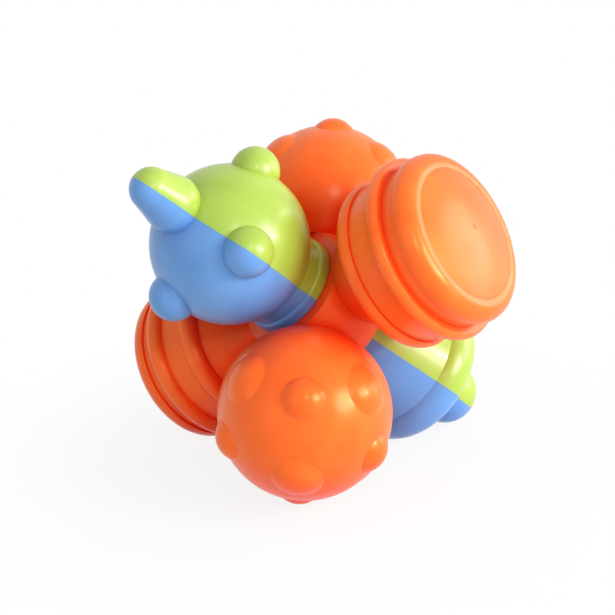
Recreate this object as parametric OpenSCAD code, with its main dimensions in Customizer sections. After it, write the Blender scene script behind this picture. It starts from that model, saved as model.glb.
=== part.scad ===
// Sensory ball: six textured knobs on three arms that cross at right angles.
// Two bumpy balls and two ribbed drums are fixed on an orange hub.
// A ball knob and a bell knob, each half green and half blue, turn on a spindle
// through the hub. Everything is in millimetres and stands as it rests on a table.

/* [Hub] */
// Diameter of the round hub
hub_diameter = 43; // [42:0.5:44]
// Width of the hub between its two flat faces
hub_width = 21.2; // [20.6:0.1:21.4]
// Diameter of the four spigots that carry the knobs
spigot_diameter = 17; // [15:0.5:18]
// Distance from the hub centre to the end of a spigot
spigot_reach = 26; // [24.5:0.5:28]
// Depth of the moulded hole in each spigot, from its end
spigot_hole_depth = 14; // [8:0.5:15]

/* [Bumpy balls] */
// Diameter of a bumpy ball
ball_diameter = 50.2; // [48.6:0.2:50.4]
// Distance from the hub centre to the centre of a bumpy ball
ball_reach = 38.3; // [38.2:0.1:39.5]
// Diameter of the low bumps, one in the middle and four round the girth
low_bump_diameter = 14.8; // [12:0.2:16]
// Height of the low bumps
low_bump_height = 1.9; // [1.2:0.1:2.4]
// Diameter of the four round bumps
round_bump_diameter = 12; // [10:0.2:13]
// Height of the four round bumps
round_bump_height = 2.3; // [1.6:0.1:3]
// Angle of the round bumps from the middle bump, degrees
round_bump_angle = 58; // [54:1:62]
// Angle of the girth bumps from the middle bump, degrees
girth_bump_angle = 80; // [76:1:84]
// Lean of the middle bump away from the line of the arm, degrees
bump_lean = 10; // [0:1:12]

/* [Ribbed drums] */
// Diameter of the drum neck at the hub
drum_neck_diameter = 23.4; // [22.6:0.2:24]
// Distance from the hub centre to the start of the flare
flare_reach = 16.6; // [16.2:0.1:17.4]
// Diameter over the first ring
ring_1_diameter = 50.8; // [50:0.2:51.6]
// Distance from the hub centre to the first ring
ring_1_reach = 33.2; // [32.6:0.1:33.8]
// Edge radius of the first ring
ring_1_round = 3; // [2.6:0.1:3.2]
// Distance from the middle of the first ring to its sharp outer edge
ring_1_lead = 1.9; // [1.6:0.1:2.2]
// Diameter of the floor between the first and second rings, next to the first
floor_1_diameter = 48.2; // [47.6:0.2:48.8]
// Width of the floor between the first and second rings
floor_1_width = 7.7; // [7:0.1:8.2]
// Diameter over the second ring
ring_2_diameter = 54.8; // [54:0.2:55.4]
// Edge radius of the second ring
ring_2_round = 2.6; // [2.4:0.1:2.8]
// Distance from the middle of the second ring to its sharp outer edge
ring_2_lead = 2.1; // [1.9:0.1:2.3]
// Diameter of the floor between the second and third rings
floor_2_diameter = 48.8; // [48.2:0.2:49.2]
// Width of the floor between the second and third rings
floor_2_width = 4.1; // [3.6:0.1:4.6]
// Diameter over the third ring
ring_3_diameter = 50.6; // [50:0.2:51.2]
// Edge radius of the third ring
ring_3_round = 4.6; // [4.4:0.1:5]
// Distance from the sharp inner edge of the third ring to its middle
ring_3_lead = 1.4; // [1:0.1:1.8]
// Diameter of the domed end cap
cap_diameter = 39; // [38.4:0.2:39.4]
// Height of the dome on the end cap
cap_dome_height = 3; // [2:0.1:3.6]
// Thickness of the end cap
cap_thickness = 2.2; // [1.8:0.1:2.4]
// Depth of the lip under the end cap
cap_lip_depth = 3; // [2:0.1:3.6]

/* [Two-colour ball knob] */
// Diameter of the ball knob
knob_diameter = 46.4; // [45.4:0.2:47]
// Distance from the hub centre to the centre of the ball knob
knob_reach = 36.4; // [36:0.1:37]
// Diameter of the round collar next to the hub
collar_diameter = 30.4; // [29.6:0.2:30.6]
// Height of the collar
collar_height = 3.6; // [3:0.1:4]
// Edge radius of the collar
collar_round = 1.2; // [0.8:0.1:1.4]
// Diameter of the step between collar and ball
step_diameter = 28.8; // [28:0.2:29.2]
// Diameter of the side nubs
nub_diameter = 14.4; // [13.6:0.2:15.2]
// Distance from the centre of the ball knob to the centre of a side nub
nub_reach = 22.1; // [21.4:0.1:22.8]
// Angle of the side nubs from the pole, degrees
nub_angle = 74; // [70:1:78]
// Diameter of the root lobe of the end nub
end_root_diameter = 16.4; // [15.8:0.2:17]
// Distance from the centre of the ball knob to the centre of the root lobe
end_root_reach = 25.4; // [24.6:0.1:26]
// Diameter of the tip lobe of the end nub
end_tip_diameter = 12.4; // [11.8:0.2:13]
// Distance between the centres of the two lobes
end_lobe_gap = 8.3; // [7.6:0.1:9]
// Lean of the end nub towards the front nub on the seam, degrees
end_lean = 10; // [0:1:12]

/* [Two-colour bell knob] */
// Diameter of the bell where it flares out to meet its rim
bell_mouth_diameter = 44; // [43.4:0.2:44.4]
// Distance from the hub centre to the crease in front of the rim
bell_crease_reach = 37; // [36.6:0.1:37.6]
// Diameter over the rounded rim
rim_diameter = 48.8; // [48.2:0.2:49.4]
// Distance from the hub centre to the middle of the rim
rim_reach = 42.6; // [42.2:0.1:43]
// Edge radius of the rounded rim
rim_round = 7.5; // [7.2:0.1:7.8]
// Height of the dome on the end of the bell over its rim
bell_dome_height = 4.6; // [4:0.1:5.4]
// Diameter of the nub on the end of the bell
bell_nub_diameter = 20.4; // [19.4:0.2:21]
// Distance from the top of the dome to the centre of the nub
bell_nub_rise = 5.6; // [4.8:0.1:6.4]

/* [Spindle] */
// Diameter of the spindle
spindle_diameter = 12; // [11:0.2:13]
// Diameter of the hole along the spindle
spindle_hole_diameter = 6; // [5:0.2:7]
// Width of the square flange on each end of the spindle
flange_width = 13; // [12.8:0.2:13.6]
// Thickness of the square flange
flange_thickness = 3; // [2.4:0.1:3.4]
// Distance from the hub centre to the inner face of the flange
flange_reach = 18; // [17.6:0.1:18.4]
// Diameter of the boss round the flange
boss_diameter = 22; // [21.4:0.2:22.8]
// Turn of the two-colour knobs in the rest position, degrees
knob_turn = 4; // [0:1:90]

/* [Walls and fits] */
// Wall thickness of the hollow pieces
wall = 2.2; // [1.8:0.1:2.4]
// Radial running clearance of the spindle in the hub
running_clearance = 0.05; // [0.02:0.01:0.08]
// End clearance between the hub and the turning knobs
end_clearance = 0.3; // [0.3:0.05:0.5]
// Radial slip clearance of pressed pieces
slip_clearance = 0.05; // [0.02:0.01:0.08]

/* [Hidden] */
$fn = 72;

orange = "#f4561f";
lime = "#c3d94e";
blue = "#5f8fd6";

// Radii and lengths that follow from the sizes above
hub_r = hub_diameter / 2;
hub_half = hub_width / 2;
spigot_r = spigot_diameter / 2;
spigot_hole_r = spigot_r - wall;
socket_r = spigot_r + slip_clearance;
overrun = wall;
reach_all = ball_reach + knob_reach + hub_diameter;

ball_r = ball_diameter / 2;

ring_1_r = ring_1_diameter / 2;
ring_2_r = ring_2_diameter / 2;
ring_3_r = ring_3_diameter / 2;
floor_1_r = floor_1_diameter / 2;
floor_2_r = floor_2_diameter / 2;
drum_neck_r = drum_neck_diameter / 2;
cap_r = cap_diameter / 2;
ring_1_mid = ring_1_r - ring_1_round;
ring_2_mid = ring_2_r - ring_2_round;
ring_3_mid = ring_3_r - ring_3_round;
// Each ring starts where the floor before it ends
ring_1_end = ring_1_reach + ring_1_lead;
ring_2_reach = ring_1_end + floor_1_width + ring_2_round;
ring_2_end = ring_2_reach + ring_2_lead;
ring_3_start = ring_2_end + floor_2_width;
ring_3_reach = ring_3_start + ring_3_lead;
// The end cap sits where the third ring curves in to its rim, or on the flat inside a wider ring
cap_in = min(ring_3_mid - cap_r, ring_3_round);
cap_rim_reach = ring_3_reach + sqrt(ring_3_round * ring_3_round - cap_in * cap_in);
cap_seat_reach = cap_rim_reach - cap_thickness;
mouth_r = cap_r - wall;
dome_r = (cap_r * cap_r + cap_dome_height * cap_dome_height) / (2 * cap_dome_height);
// The room inside a drum keeps a wall under the narrowest of the floors and the second ring
drum_room_r = min(floor_1_r, ring_2_mid, floor_2_r) - wall;
flare_slope = (ring_1_mid - drum_neck_r) / (ring_1_reach - flare_reach);
flare_wall = wall * sqrt(1 + flare_slope * flare_slope);

knob_r = knob_diameter / 2;
nub_r = nub_diameter / 2;
collar_r = collar_diameter / 2;
step_r = step_diameter / 2;
knob_base = hub_half + end_clearance;
knob_floor = flange_reach + flange_thickness - wall;
boss_end = flange_reach + flange_thickness + wall;
boss_r = boss_diameter / 2;
end_root_r = end_root_diameter / 2;
end_tip_r = end_tip_diameter / 2;
end_tip_reach = end_root_reach + end_lobe_gap;
end_cone = asin((end_root_r - end_tip_r) / end_lobe_gap);
function cone_edge(r, reach) =
  [0, reach] + (r - slip_clearance) * [cos(end_cone), sin(end_cone)];

bell_mouth_r = bell_mouth_diameter / 2;
bell_nub_r = bell_nub_diameter / 2;
bell_slope = (bell_mouth_r - collar_r) / (bell_crease_reach - knob_base);
rim_mid = rim_diameter / 2 - rim_round;
// The dome on the end of the bell runs smoothly into the rim
bell_end_reach = rim_reach + rim_round + bell_dome_height;
bell_nub_reach = bell_end_reach + bell_nub_rise;
dome_gap = bell_end_reach - rim_round + slip_clearance;
dome_mid = (dome_gap * dome_gap - rim_mid * rim_mid - rim_reach * rim_reach)
  / (2 * (dome_gap - rim_reach));
bell_dome_r = bell_end_reach - dome_mid;
dome_way = atan2(rim_mid, rim_reach - dome_mid);
dome_edge_r = bell_dome_r * sin(dome_way);
dome_edge = dome_mid + bell_dome_r * cos(dome_way);

spindle_r = spindle_diameter / 2;
spindle_hole_r = spindle_hole_diameter / 2;
bore_r = spindle_r + running_clearance;

// A bump is part of a sphere that meets the ball in a circle of the bump's size
function bump_rise(d, h) = ball_r + h - sqrt(ball_r * ball_r - d * d / 4);
function bump_r(d, h) = (d * d / 4 + pow(bump_rise(d, h), 2)) / (2 * bump_rise(d, h));
function bump_reach(d, h) = ball_r + h - bump_r(d, h);
round_bump_r = bump_r(round_bump_diameter, round_bump_height);
round_bump_reach = bump_reach(round_bump_diameter, round_bump_height);

// How it stands: the plane that touches the front ball, the left drum and the bell
function unit(v) = v / norm(v);
function across(d, axis) = unit(d - (d * axis) * axis);
low_bump_turn = round_bump_angle - bump_lean;
round_bump_way = [
  cos(low_bump_turn),
  -sin(low_bump_turn) * sin(45),
  -sin(low_bump_turn) * cos(45)
];
function touch_ball(d) =
  [ball_reach, 0, 0] + round_bump_reach * round_bump_way + round_bump_r * d;
function touch_drum(d) =
  [0, -ring_3_reach, 0] + ring_3_mid * across(d, [0, 1, 0]) + ring_3_round * d;
function touch_rim(d) =
  [0, 0, -rim_reach] + rim_mid * across(d, [0, 0, 1]) + rim_round * d;
function touch_nub(d) = [0, 0, -bell_nub_reach] + bell_nub_r * d;
function touch_bell(d) = touch_nub(d) * d > touch_rim(d) * d ? touch_nub(d) : touch_rim(d);
function plane_through(p, q, r) = unit(cross(q - p, r - p));
function settle(d, turns) =
  turns == 0 ? d : settle(plane_through(touch_ball(d), touch_drum(d), touch_bell(d)), turns - 1);
down = settle(unit([1, -1, -1]), 24);
up = -down;
facing = unit([1, 1, 1]);
back = -across(facing, up);
side = cross(back, up);
stand_height = touch_ball(down) * down;
stand_angles = [atan2(up[1], up[2]), -asin(up[0]), atan2(back[0], side[0])];

module stand() {
  translate([0, 0, stand_height])
    rotate(stand_angles)
      children();
}

// Ways from the hub: each piece is drawn along +Z and turned on to its own arm
module to_front() { rotate([0, 90, 0]) children(); }
module to_rear() { rotate([0, -90, 0]) children(); }
module to_right() { rotate([-90, 0, 0]) children(); }
module to_left() { rotate([90, 0, 0]) children(); }

module right_side() {
  intersection() {
    children();
    translate([0, -reach_all])
      square([reach_all, 2 * reach_all]);
  }
}

module revolve() {
  rotate([0, 0, -90])
    rotate_extrude()
      right_side()
        children();
}

module half_revolve() {
  rotate_extrude(angle = 180)
    right_side()
      children();
}

module rod(r, from, to) {
  translate([0, 0, from])
    cylinder(r = r, h = to - from);
}

module hub_round() {
  sphere(r = hub_r);
}

module hub_body() {
  difference() {
    union() {
      intersection() {
        hub_round();
        rod(hub_r + overrun, -hub_half, hub_half);
      }
      to_front() rod(spigot_r, 0, spigot_reach);
      to_rear() rod(spigot_r, 0, spigot_reach);
      to_right() rod(spigot_r, 0, spigot_reach);
      to_left() rod(spigot_r, 0, spigot_reach);
    }
    rod(bore_r, -hub_half - overrun, hub_half + overrun);
    to_front() spigot_hole();
    to_rear() spigot_hole();
    to_right() spigot_hole();
    to_left() spigot_hole();
  }
}

module spigot_hole() {
  rod(spigot_hole_r, spigot_reach - spigot_hole_depth, spigot_reach + overrun);
}

module hub() {
  color(orange)
    stand()
      hub_body();
}

module bump(d, h, polar, around) {
  rotate([0, polar, around])
    translate([0, 0, bump_reach(d, h)])
      sphere(r = bump_r(d, h));
}

module bumpy_ball() {
  difference() {
    translate([0, 0, ball_reach])
      union() {
        sphere(r = ball_r);
        rotate([0, bump_lean, 0]) {
          bump(low_bump_diameter, low_bump_height, 0, 0);
          for (i = [0:3]) {
            bump(low_bump_diameter, low_bump_height, girth_bump_angle, 90 * i + 45);
            bump(round_bump_diameter, round_bump_height, round_bump_angle, 90 * i);
          }
        }
      }
    intersection() {
      translate([0, 0, ball_reach])
        sphere(r = ball_r - wall);
      rod(ball_r, spigot_reach, ball_reach + ball_r);
    }
    rod(socket_r, 0, spigot_reach + overrun);
    hub_round();
  }
}

module front_bumpy_ball() {
  color(orange)
    stand()
      to_front()
        rotate([0, 0, 135])
          bumpy_ball();
}

module rear_bumpy_ball() {
  color(orange)
    stand()
      to_rear()
        rotate([0, 0, 225])
          bumpy_ball();
}

// A round ring, cut off square at one side where it has its sharp edge
module cut_ring(mid, reach, round, from, to) {
  intersection() {
    translate([mid, reach])
      circle(r = round);
    translate([0, from])
      square([mid + 2 * round, to - from]);
  }
}

module drum_outline() {
  polygon([
    [0, spigot_r],
    [drum_neck_r, spigot_r],
    [drum_neck_r, flare_reach],
    [ring_1_mid, ring_1_reach],
    [floor_1_r, ring_1_end],
    [ring_2_mid, ring_2_reach],
    [floor_2_r, ring_2_end],
    [floor_2_r, ring_3_reach],
    [ring_3_mid, ring_3_reach],
    [cap_r, cap_rim_reach],
    [0, cap_rim_reach]
  ]);
  cut_ring(ring_1_mid, ring_1_reach, ring_1_round, flare_reach, ring_1_end);
  cut_ring(ring_2_mid, ring_2_reach, ring_2_round, ring_1_reach, ring_2_end);
  cut_ring(ring_3_mid, ring_3_reach, ring_3_round, ring_3_start, cap_rim_reach + overrun);
}

module drum_room() {
  flare_room_r = drum_neck_r + flare_slope * (spigot_reach - flare_reach) - flare_wall;
  room_turn = cap_seat_reach - wall - (drum_room_r - mouth_r);
  polygon([
    [0, spigot_reach],
    [flare_room_r, spigot_reach],
    [drum_room_r, spigot_reach + (drum_room_r - flare_room_r) / flare_slope],
    [drum_room_r, room_turn],
    [mouth_r, room_turn + drum_room_r - mouth_r],
    [mouth_r, cap_rim_reach + overrun],
    [0, cap_rim_reach + overrun]
  ]);
}

module ribbed_drum() {
  difference() {
    revolve() drum_outline();
    revolve() drum_room();
    rod(cap_r + slip_clearance, cap_seat_reach, cap_rim_reach + overrun);
    rod(socket_r, 0, spigot_reach + overrun);
    hub_round();
  }
}

module right_ribbed_drum() {
  color(orange)
    stand()
      to_right()
        ribbed_drum();
}

module left_ribbed_drum() {
  color(orange)
    stand()
      to_left()
        ribbed_drum();
}

module cap_outline() {
  difference() {
    intersection() {
      translate([0, cap_rim_reach + cap_dome_height - dome_r])
        circle(r = dome_r);
      translate([0, cap_seat_reach])
        square([cap_r, cap_thickness + cap_dome_height + overrun]);
    }
    intersection() {
      translate([0, cap_rim_reach + cap_dome_height - dome_r - cap_thickness])
        circle(r = dome_r);
      translate([0, cap_seat_reach - overrun])
        square([mouth_r - wall, cap_thickness + cap_dome_height + overrun]);
    }
  }
  translate([mouth_r - wall, cap_seat_reach - cap_lip_depth])
    square([wall - slip_clearance, cap_lip_depth + slip_clearance]);
}

module drum_cap() {
  revolve() cap_outline();
}

module right_drum_cap() {
  color(orange)
    stand()
      to_right()
        drum_cap();
}

module left_drum_cap() {
  color(orange)
    stand()
      to_left()
        drum_cap();
}

module flange() {
  translate([-flange_width / 2, -flange_width / 2, flange_reach])
    cube([flange_width, flange_width, flange_thickness]);
}

module spindle() {
  color("#e9e4d8")
    stand()
      seam_turn()
        difference() {
          union() {
            rod(spindle_r, -flange_reach, flange_reach);
            flange();
            mirror([0, 0, 1]) flange();
          }
          rod(spindle_hole_r, -boss_end, boss_end);
        }
}

module spindle_room() {
  rod(spindle_r + slip_clearance, 0, flange_reach + slip_clearance);
  flange();
}

// The end nub is a large and a small round lobe with a cone between them
module end_outline(inset) {
  translate([0, end_root_reach])
    circle(r = end_root_r - inset);
  translate([0, end_tip_reach])
    circle(r = end_tip_r - inset);
  polygon([
    [0, end_root_reach],
    cone_edge(end_root_r - inset, end_root_reach),
    cone_edge(end_tip_r - inset, end_tip_reach),
    [0, end_tip_reach]
  ]);
}

module to_end_nub() {
  translate([0, 0, knob_reach])
    rotate([0, end_lean, 0])
      children();
}

// The middle of a side nub, by its angle round the knob
module to_side_nub(around) {
  translate([0, 0, knob_reach])
    rotate([0, nub_angle, around])
      translate([0, 0, nub_reach])
        children();
}

module side_nub(r, around) {
  to_side_nub(around)
    rotate([90, 0, 0])
      sphere(r = r);
}

module ball_outline() {
  translate([0, knob_base])
    square([collar_r, collar_height - collar_round]);
  translate([0, knob_base])
    square([collar_r - collar_round, collar_height]);
  translate([collar_r - collar_round, knob_base + collar_height - collar_round])
    circle(r = collar_round);
  translate([0, knob_base])
    square([step_r, knob_reach - knob_base]);
  translate([0, knob_reach])
    circle(r = knob_r);
}

module ball_room() {
  difference() {
    intersection() {
      translate([0, knob_reach])
        circle(r = knob_r - wall);
      translate([0, knob_floor])
        square([knob_r, knob_diameter]);
    }
    square([boss_r, boss_end]);
  }
}

module half_ball() {
  difference() {
    union() {
      half_revolve() ball_outline();
      to_end_nub()
        half_revolve() end_outline(0);
      intersection() {
        side_nub(nub_r, 0);
        upper_side();
      }
      side_nub(nub_r, 90);
      intersection() {
        side_nub(nub_r, 180);
        upper_side();
      }
    }
    revolve() ball_room();
    to_end_nub()
      revolve() end_outline(wall);
    for (around = [0, 90, 180])
      side_nub(nub_r - wall, around);
    spindle_room();
  }
}

module bell_dome(r) {
  intersection() {
    translate([0, dome_mid])
      circle(r = r);
    polygon([
      [0, dome_mid],
      [dome_edge_r, dome_edge],
      [dome_edge_r, bell_end_reach],
      [0, bell_end_reach]
    ]);
  }
}

module bell_outline() {
  polygon([
    [0, knob_base],
    [collar_r, knob_base],
    [bell_mouth_r + bell_slope * overrun, bell_crease_reach + overrun],
    [rim_mid, rim_reach],
    [0, rim_reach]
  ]);
  translate([rim_mid, rim_reach])
    circle(r = rim_round);
  bell_dome(bell_dome_r);
  translate([0, bell_nub_reach])
    circle(r = bell_nub_r);
}

module bell_room() {
  difference() {
    union() {
      polygon([
        [0, knob_floor],
        [collar_r + bell_slope * (knob_floor - knob_base) - wall, knob_floor],
        [bell_mouth_r - wall, bell_crease_reach],
        [rim_mid, rim_reach],
        [0, rim_reach]
      ]);
      translate([rim_mid, rim_reach])
        circle(r = rim_round - wall);
      bell_dome(bell_dome_r - wall);
    }
    square([boss_r, boss_end]);
  }
  translate([0, bell_nub_reach])
    circle(r = bell_nub_r - wall);
}

module half_bell() {
  difference() {
    half_revolve() bell_outline();
    revolve() bell_room();
    spindle_room();
  }
}

// The seam runs along the knobs' own axis: green above it and blue below
module upper_side() {
  translate([-reach_all, 0, 0])
    cube([2 * reach_all, reach_all, reach_all]);
}

module seam_turn() {
  rotate([0, 0, 45 + knob_turn]) children();
}

module green_ball_half() {
  color(lime)
    stand()
      seam_turn()
        half_ball();
}

module blue_ball_half() {
  color(blue)
    stand()
      seam_turn()
        mirror([0, 1, 0])
          half_ball();
}

module green_bell_half() {
  color(lime)
    stand()
      seam_turn()
        mirror([0, 0, 1])
          half_bell();
}

module blue_bell_half() {
  color(blue)
    stand()
      seam_turn()
        mirror([0, 0, 1])
          mirror([0, 1, 0])
            half_bell();
}

hub();
front_bumpy_ball();
rear_bumpy_ball();
right_ribbed_drum();
left_ribbed_drum();
right_drum_cap();
left_drum_cap();
spindle();
green_ball_half();
blue_ball_half();
green_bell_half();
blue_bell_half();
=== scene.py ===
import math

import bpy
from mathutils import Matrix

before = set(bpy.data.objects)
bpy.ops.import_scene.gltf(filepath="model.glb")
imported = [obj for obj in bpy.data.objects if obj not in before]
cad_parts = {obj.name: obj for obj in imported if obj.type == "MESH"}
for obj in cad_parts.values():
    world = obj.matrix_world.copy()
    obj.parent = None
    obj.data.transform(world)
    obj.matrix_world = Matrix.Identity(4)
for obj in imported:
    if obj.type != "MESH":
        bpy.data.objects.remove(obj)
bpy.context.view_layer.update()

MM = 0.001

# The camera, fitted to the outlines of the toy: metres and degrees
VIEW_ANGLE = 23.67088
CAMERA_PLACE = (0.013138, -0.416584, 0.195554)
CAMERA_TURN = (70.4955, 1.7063, 1.5918)
NEAREST_SEEN = 10 * MM

# The lamps all point about half way up the toy
LAMP_AIM = (0, 0, 50 * MM)
ROOM_LIGHT = 0.56
WHITE = "#ffffff"

# The paper under the toy: its half width, its drop below the toy, and where its shadow fades out
PAPER_HALF = 1200 * MM
PAPER_DROP = 0.2 * MM
SHADOW_INNER = 40 * MM
SHADOW_OUTER = 130 * MM

# Sizes of the marks that moulding leaves in the plastic
FLOW_CLOUD = 18 * MM
SKIN_PATCH = 6 * MM
SKIN_WAVE = 5 * MM
WAVE_DEPTH = 0.05 * MM
SKIN_GRAIN = 0.5 * MM
GRAIN_DEPTH = 0.02 * MM
# How wide a gap sets the painted shade in the hollows, and how far light gets into the plastic
FINGER_GAP = 30 * MM
SCATTER_REACH = 2.5 * MM

# Where the deep, body and pale colours lie on the noise of the flow clouds
TINT_STOPS = (0.30, 0.52, 0.74)
# How much smoother and duller than its mean the skin gets
SMOOTHER = 0.04
DULLER = 0.05
# The index of refraction of polypropylene, which is close to nylon's
PLASTIC_IOR = 1.49
# Red light goes further through the plastic than green and blue
SCATTER_SHARES = (1.0, 0.4, 0.25)


def linear(hex_colour):
    """Turn an sRGB hex colour to the linear one that Blender's sockets take."""
    channels = [int(hex_colour[i:i + 2], 16) / 255 for i in (1, 3, 5)]
    values = [c / 12.92 if c <= 0.04045 else ((c + 0.055) / 1.055) ** 2.4 for c in channels]
    return (*values, 1.0)


def add(tree, kind, links=None, **values):
    """Add a node, set its sockets or properties, and link what feeds it."""
    node = tree.nodes.new(kind)
    for key, value in values.items():
        if hasattr(node, key):
            setattr(node, key, value)
        else:
            node.inputs[key.replace("_", " ")].default_value = value
    for socket, source in (links or {}).items():
        tree.links.new(source, node.inputs[socket])
    return node


def new_material(name):
    """Start a material with nothing but a Principled shader."""
    material = bpy.data.materials.new(name)
    material.use_nodes = True
    tree = material.node_tree
    tree.nodes.clear()
    shader = add(tree, "ShaderNodeBsdfPrincipled")
    add(tree, "ShaderNodeOutputMaterial", {"Surface": shader.outputs["BSDF"]})
    return material, tree, shader


def moulded_plastic(name, gap_shade, deep, body, pale, roughness, gloss):
    """Satin injection-moulded plastic, coloured through: soft depth, faint clouds, a wavy skin and
    painted shade in the gaps.
    """
    material, tree, shader = new_material(name)
    place = add(tree, "ShaderNodeTexCoord").outputs["Object"]

    # Flow clouds, left as the melt fills the mould, change the colour a little
    clouds = add(tree, "ShaderNodeTexNoise", {"Vector": place},
                 Scale=1 / FLOW_CLOUD, Detail=3.0, Roughness=0.55, Distortion=0.6)
    tint = add(tree, "ShaderNodeValToRGB", {"Fac": clouds.outputs["Fac"]})
    stops = tint.color_ramp.elements
    stops.new(TINT_STOPS[1])
    for stop, position, colour in zip(stops, TINT_STOPS, (deep, body, pale)):
        stop.position = position
        stop.color = linear(colour)

    # Painted shade: where the gaps between the knobs are sheltered, the base colour turns to the
    # deeper gap colour, standing in for light going from plastic to plastic
    shelter = add(tree, "ShaderNodeAmbientOcclusion", samples=8, Distance=FINGER_GAP)
    openness = add(tree, "ShaderNodeMapRange", {"Value": shelter.outputs["AO"]},
                   From_Min=0.20, From_Max=0.85)
    painted_shade_blend = add(tree, "ShaderNodeMix",
                {"Factor": openness.outputs["Result"], "B": tint.outputs["Color"]},
                data_type="RGBA", A=linear(gap_shade))
    tree.links.new(painted_shade_blend.outputs["Result"], shader.inputs["Base Color"])

    # The skin is a little duller in patches
    patches = add(tree, "ShaderNodeTexNoise", {"Vector": place}, Scale=1 / SKIN_PATCH, Detail=2.0)
    sheen = add(tree, "ShaderNodeMapRange", {"Value": patches.outputs["Fac"]},
                From_Min=0.3, From_Max=0.7,
                To_Min=roughness - SMOOTHER, To_Max=roughness + DULLER)
    tree.links.new(sheen.outputs["Result"], shader.inputs["Roughness"])

    # The skin has a fine grain from the mould's steel on shallow waves from shrinking
    grain = add(tree, "ShaderNodeTexNoise", {"Vector": place}, Scale=1 / SKIN_GRAIN, Detail=1.0)
    grained = add(tree, "ShaderNodeBump", {"Height": grain.outputs["Fac"]},
                  Strength=0.05, Distance=GRAIN_DEPTH)
    waves = add(tree, "ShaderNodeTexNoise", {"Vector": place}, Scale=1 / SKIN_WAVE, Detail=0.0)
    skin = add(tree, "ShaderNodeBump",
               {"Height": waves.outputs["Fac"], "Normal": grained.outputs["Normal"]},
               Strength=0.12, Distance=WAVE_DEPTH)
    tree.links.new(skin.outputs["Normal"], shader.inputs["Normal"])

    shader.inputs["IOR"].default_value = PLASTIC_IOR
    shader.inputs["Specular IOR Level"].default_value = 0.45
    shader.inputs["Specular Tint"].default_value = linear(gloss)
    shader.inputs["Subsurface Weight"].default_value = 0.3
    shader.inputs["Subsurface Radius"].default_value = SCATTER_SHARES
    shader.inputs["Subsurface Scale"].default_value = SCATTER_REACH
    shader.inputs["Coat Weight"].default_value = 0.12
    shader.inputs["Coat Roughness"].default_value = 0.15
    return material


# Orange polypropylene: its gloss is warm, so lit places turn to yellow, and the gaps get a painted
# red shade
orange = moulded_plastic(
    "orange_moulded_polypropylene", gap_shade="#fc340c",
    deep="#f65f21", body="#f86725", pale="#fa6f2b", roughness=0.34, gloss="#ffea86")
# Lime polypropylene: bright and a little smoother, with small white glints
lime = moulded_plastic(
    "lime_moulded_polypropylene", gap_shade="#a0ae30",
    deep="#9cb743", body="#a4be4b", pale="#acc654", roughness=0.32, gloss=WHITE)
# Cornflower blue polypropylene: the dullest of the three, with a soft pale sheen
blue = moulded_plastic(
    "blue_moulded_polypropylene", gap_shade="#5c86c8",
    deep="#5a8fcc", body="#6095d2", pale="#689dd8", roughness=0.36, gloss=WHITE)
# Natural nylon: a creamy, waxy white, for the spindle inside
nylon = moulded_plastic(
    "natural_moulded_nylon", gap_shade="#c8c0ac",
    deep="#dcd6c6", body="#e4dfd0", pale="#ebe7da", roughness=0.45, gloss=WHITE)

FINISHES = {
    "hub": orange,
    "front_bumpy_ball": orange,
    "rear_bumpy_ball": orange,
    "right_ribbed_drum": orange,
    "left_ribbed_drum": orange,
    "right_drum_cap": orange,
    "left_drum_cap": orange,
    "spindle": nylon,
    "green_ball_half": lime,
    "green_bell_half": lime,
    "blue_ball_half": blue,
    "blue_bell_half": blue,
}
for node, material in FINISHES.items():
    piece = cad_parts[node]
    piece.data.materials.clear()
    piece.data.materials.append(material)


def seen_rays(tree):
    """Give 1 for the rays that show the background: to the camera, in gloss or through glass."""
    path = add(tree, "ShaderNodeLightPath").outputs
    either = add(tree, "ShaderNodeMath", {0: path["Is Camera Ray"], 1: path["Is Glossy Ray"]},
                 operation="MAXIMUM")
    return add(tree, "ShaderNodeMath", {0: either.outputs[0], 1: path["Is Transmission Ray"]},
               operation="MAXIMUM").outputs[0]


# A sheet of white paper under the toy
paper_mesh = bpy.data.meshes.new("floor")
corners = [(-PAPER_HALF, -PAPER_HALF, 0), (PAPER_HALF, -PAPER_HALF, 0),
           (PAPER_HALF, PAPER_HALF, 0), (-PAPER_HALF, PAPER_HALF, 0)]
paper_mesh.from_pydata(corners, [], [(0, 1, 2, 3)])
floor = bpy.data.objects.new("floor", paper_mesh)
bpy.context.collection.objects.link(floor)
floor.location.z = -PAPER_DROP

# Uncoated paper is matt. It keeps a faint shadow near the toy and is plain white further out
paper, paper_tree, paper_shader = new_material("white_uncoated_paper")
paper_shader.inputs["Base Color"].default_value = linear("#dcdcdc")
paper_shader.inputs["Roughness"].default_value = 0.9
spot = add(paper_tree, "ShaderNodeTexCoord").outputs["Object"]
distance = add(paper_tree, "ShaderNodeVectorMath", {0: spot}, operation="LENGTH")
fade = add(paper_tree, "ShaderNodeMapRange", {"Value": distance.outputs["Value"]},
           interpolation_type="SMOOTHSTEP",
           From_Min=SHADOW_INNER, From_Max=SHADOW_OUTER, To_Min=0.86, To_Max=1.0)
share = add(paper_tree, "ShaderNodeMath",
            {0: fade.outputs["Result"], 1: seen_rays(paper_tree)}, operation="MULTIPLY")
glow = add(paper_tree, "ShaderNodeEmission", Color=linear(WHITE), Strength=1.0)
sheet = add(paper_tree, "ShaderNodeMixShader",
            {0: share.outputs[0], 1: paper_shader.outputs["BSDF"], 2: glow.outputs[0]})
paper_output = paper_tree.nodes["Material Output"]
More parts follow.
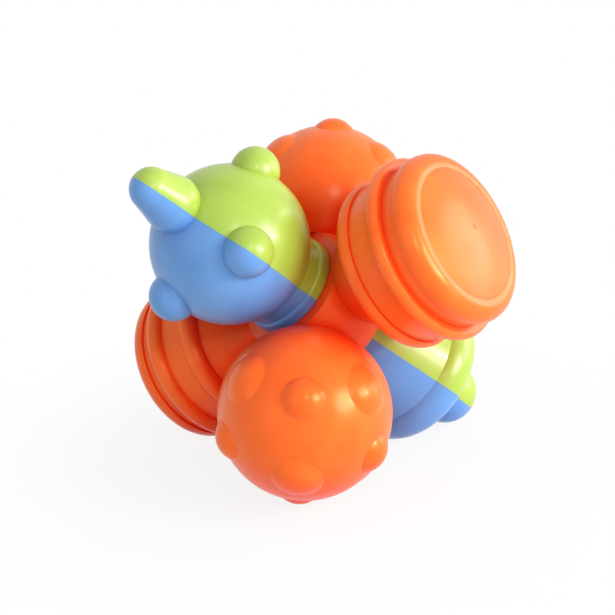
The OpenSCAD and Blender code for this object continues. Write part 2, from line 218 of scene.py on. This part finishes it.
paper_tree.links.new(sheet.outputs[0], paper_output.inputs["Surface"])
paper_mesh.materials.append(paper)

# The room: white where it is seen, and dimmer where it lights the toy
world = bpy.data.worlds.new("studio")
bpy.context.scene.world = world
world.use_nodes = True
sky = world.node_tree
sky.nodes.clear()
seen = add(sky, "ShaderNodeBackground", Color=linear(WHITE), Strength=1.0)
lit = add(sky, "ShaderNodeBackground", Color=linear(WHITE), Strength=ROOM_LIGHT)
mix = add(sky, "ShaderNodeMixShader", {0: seen_rays(sky), 1: lit.outputs[0], 2: seen.outputs[0]})
add(sky, "ShaderNodeOutputWorld", {"Surface": mix.outputs[0]})


def softbox(name, place, width, watts):
    """Hang a round lamp in its place, pointed at the toy."""
    light = bpy.data.lights.new(name, "AREA")
    light.shape = "DISK"
    light.size = width
    light.energy = watts
    lamp = bpy.data.objects.new(name, light)
    bpy.context.collection.objects.link(lamp)
    lamp.location = place
    way = [a - b for a, b in zip(LAMP_AIM, place)]
    length = math.sqrt(sum(c * c for c in way))
    lamp.rotation_euler = (math.acos(-way[2] / length), 0,
                           math.atan2(way[1], way[0]) - math.pi / 2)


# The wide lamps model the forms, and the small one puts the white glints on the nubs and bumps
softbox("side_bank", place=(0.73, 0.21, 0.25), width=0.46, watts=2.5)
softbox("key_right", place=(0.60, -0.36, 0.34), width=0.35, watts=4.5)
softbox("key_spot", place=(0.66, -0.24, 0.27), width=0.05, watts=1.1)
softbox("front_bank", place=(0.14, -0.54, 0.47), width=0.18, watts=0.8)
softbox("front_fill", place=(-0.55, -0.60, 0.30), width=0.6, watts=0.6)

lens = bpy.data.cameras.new("camera")
lens.sensor_fit = "HORIZONTAL"
lens.angle = math.radians(VIEW_ANGLE)
lens.clip_start = NEAREST_SEEN
camera = bpy.data.objects.new("camera", lens)
bpy.context.collection.objects.link(camera)
camera.location = CAMERA_PLACE
camera.rotation_euler = [math.radians(a) for a in CAMERA_TURN]
bpy.context.scene.camera = camera
bpy.context.scene.view_settings.view_transform = "Standard"
